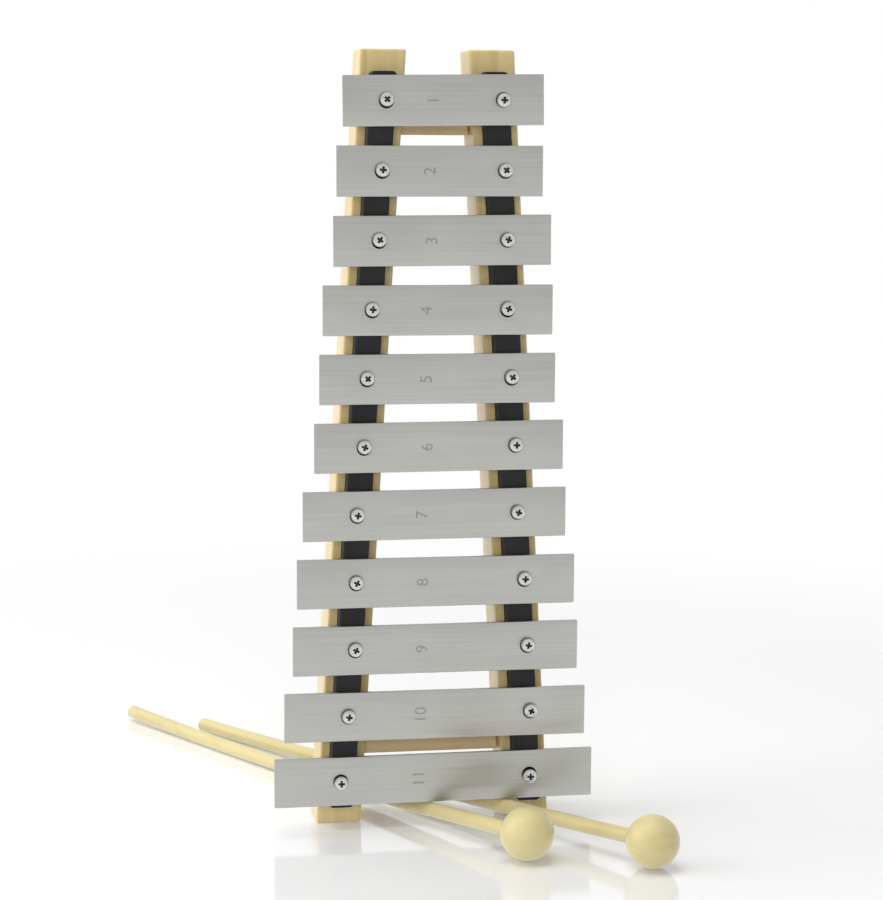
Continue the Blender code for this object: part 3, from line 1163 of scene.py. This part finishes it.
@dataclass(frozen=True)
class Lamp:
    """A soft square lamp that points at the instrument."""

    name: str
    place: Triple
    size: float
    watts: float

    def build(self, target: Vector) -> None:
        """Add the lamp.

        Args:
            target: The point that it faces.
        """
        data = bpy.data.lights.new(self.name, "AREA")
        data.size = self.size
        data.energy = self.watts
        lamp = bpy.data.objects.new(self.name, data)
        bpy.context.scene.collection.objects.link(lamp)
        lamp.location = self.place
        lamp.visible_glossy = False
        lamp.rotation_euler = (target - lamp.location).to_track_quat("-Z", "Y").to_euler()


@dataclass
class Studio:
    """The white glossy floor, the soft light and the camera.

    The floor shows its own shading inside shaded_radius, and the camera sees it plain white
    outside glowing_radius. The world is white where it shows, and world_level lights the pieces.
    """

    camera_place: Triple = (-178.62 * MM, -1248.37 * MM, 356.35 * MM)
    yaw: float = -9.71
    pitch: float = 7.755
    roll: float = 0.391
    lens: float = 97.85
    sensor_width: float = 36.0
    near_clip: float = 0.01
    target: Triple = (0.02, -0.06, 0.19)
    world_level: float = 0.22
    floor_half: float = 6.0
    floor_colour: Colour = (0.87, 0.87, 0.87)
    floor_roughness: float = 0.09
    floor_ior: float = 2.3
    shaded_radius: float = 0.36
    glowing_radius: float = 0.80
    least_glow: float = 0.10
    mirrored_glow: float = 0.75
    mirrored_gain: float = 0.35
    lamps: tuple[Lamp, ...] = (
        Lamp("key from the left", place=(-1.9, 0.1, 0.9), size=1.6, watts=27.0),
        Lamp("light from above", place=(-0.3, 0.1, 2.1), size=1.5, watts=33.0),
        Lamp("fill beside the camera", place=(-0.35, -2.0, 0.62), size=0.8, watts=14.5),
    )

    def _floor_material(self) -> bpy.types.Material:
        """Glossy white near the instrument, plain white away from it and in reflections.

        Returns:
            The material.
        """
        material, recipe = material_recipe("glossy white floor")
        where = recipe.node("ShaderNodeTexCoord", output="Object")
        distance = recipe.node(
            "ShaderNodeVectorMath", {"operation": "LENGTH"}, {0: where}, "Value"
        )
        far = recipe.node(
            "ShaderNodeMapRange",
            {"interpolation_type": "SMOOTHSTEP"},
            {
                "Value": distance,
                "From Min": self.shaded_radius,
                "From Max": self.glowing_radius,
                "To Min": self.least_glow,
                "To Max": 1.0,
            },
        )
        gloss = {
            "Base Color": (*self.floor_colour, OPAQUE),
            "Roughness": self.floor_roughness,
            "IOR": self.floor_ior,
        }
        ground = recipe.node("ShaderNodeBsdfPrincipled", None, gloss)
        mirrored = recipe.ray("Glossy")
        strength = 1.0 + mirrored * self.mirrored_gain
        glow = recipe.node("ShaderNodeEmission", None, {"Color": WHITE_LIGHT, "Strength": strength})
        share = (far * recipe.ray("Camera")).at_least(mirrored * self.mirrored_glow)
        mixed = recipe.node("ShaderNodeMixShader", None, {0: share, 1: ground, 2: glow})
        recipe.node("ShaderNodeOutputMaterial", None, {"Surface": mixed})
        return material

    def _floor(self) -> None:
        """Add the floor, which isn't part of the object."""
        deselect_everything()
        bpy.ops.mesh.primitive_plane_add(size=2.0 * self.floor_half)
        floor = bpy.context.active_object
        floor.name = "studio_floor"
        coat_with(floor, self._floor_material())
        floor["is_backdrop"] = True

    def _world(self) -> None:
        """Set a world that is white where it shows or is mirrored, and softer as a light."""
        world = bpy.data.worlds.new("white studio")
        bpy.context.scene.world = world
        world.use_nodes = True
        recipe = Recipe(world.node_tree)
        shown = recipe.ray("Camera").at_least(recipe.ray("Glossy"))
        shown = shown.at_least(recipe.ray("Transmission"))
        level = self.world_level + shown * (1.0 - self.world_level)
        light = recipe.node("ShaderNodeBackground", None, {"Color": WHITE_LIGHT, "Strength": level})
        recipe.node("ShaderNodeOutputWorld", None, {"Surface": light})

    def _camera(self) -> None:
        """Add the camera at the photograph's viewpoint."""
        data = bpy.data.cameras.new("viewpoint")
        data.sensor_fit = "HORIZONTAL"
        data.sensor_width = self.sensor_width
        data.lens = self.lens
        data.clip_start = self.near_clip
        camera = bpy.data.objects.new("viewpoint", data)
        bpy.context.scene.collection.objects.link(camera)
        turn = Matrix.Rotation(math.radians(self.yaw), 4, "Z")
        tilt = Matrix.Rotation(math.radians(90.0 - self.pitch), 4, "X")
        roll = Matrix.Rotation(math.radians(self.roll), 4, "Z")
        camera.matrix_world = Matrix.Translation(self.camera_place) @ turn @ tilt @ roll
        bpy.context.scene.camera = camera

    def build(self) -> None:
        """Build the whole studio."""
        self._floor()
        self._world()
        self._camera()
        for lamp in self.lamps:
            lamp.build(Vector(self.target))
        bpy.context.scene.view_settings.view_transform = "Standard"


def corners() -> list[list[float]]:
    """The whole object's box as plain numbers.

    Returns:
        Its lowest and highest corners.
    """
    return [[float(number) for number in corner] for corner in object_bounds()]


def main() -> None:
    """Load the frame, dress it and set up the studio."""
    logging.basicConfig(level=logging.INFO, format="%(name)s %(message)s")
    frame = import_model()
    WoodenFrame().build(frame["nodes"])
    BarSet().build()
    ScrewSet().build()
    wood = MALLET_WOOD.material()
    for mallet in (
        Mallet(number=1, heading=30.2, bow=4.2 * MM),
        Mallet(number=2, heading=33.6, bow=2.0 * MM),
    ):
        mallet.build(wood)
    Studio().build()
    LOG.info("object box %s", corners())


if __name__ == "__main__":
    main()
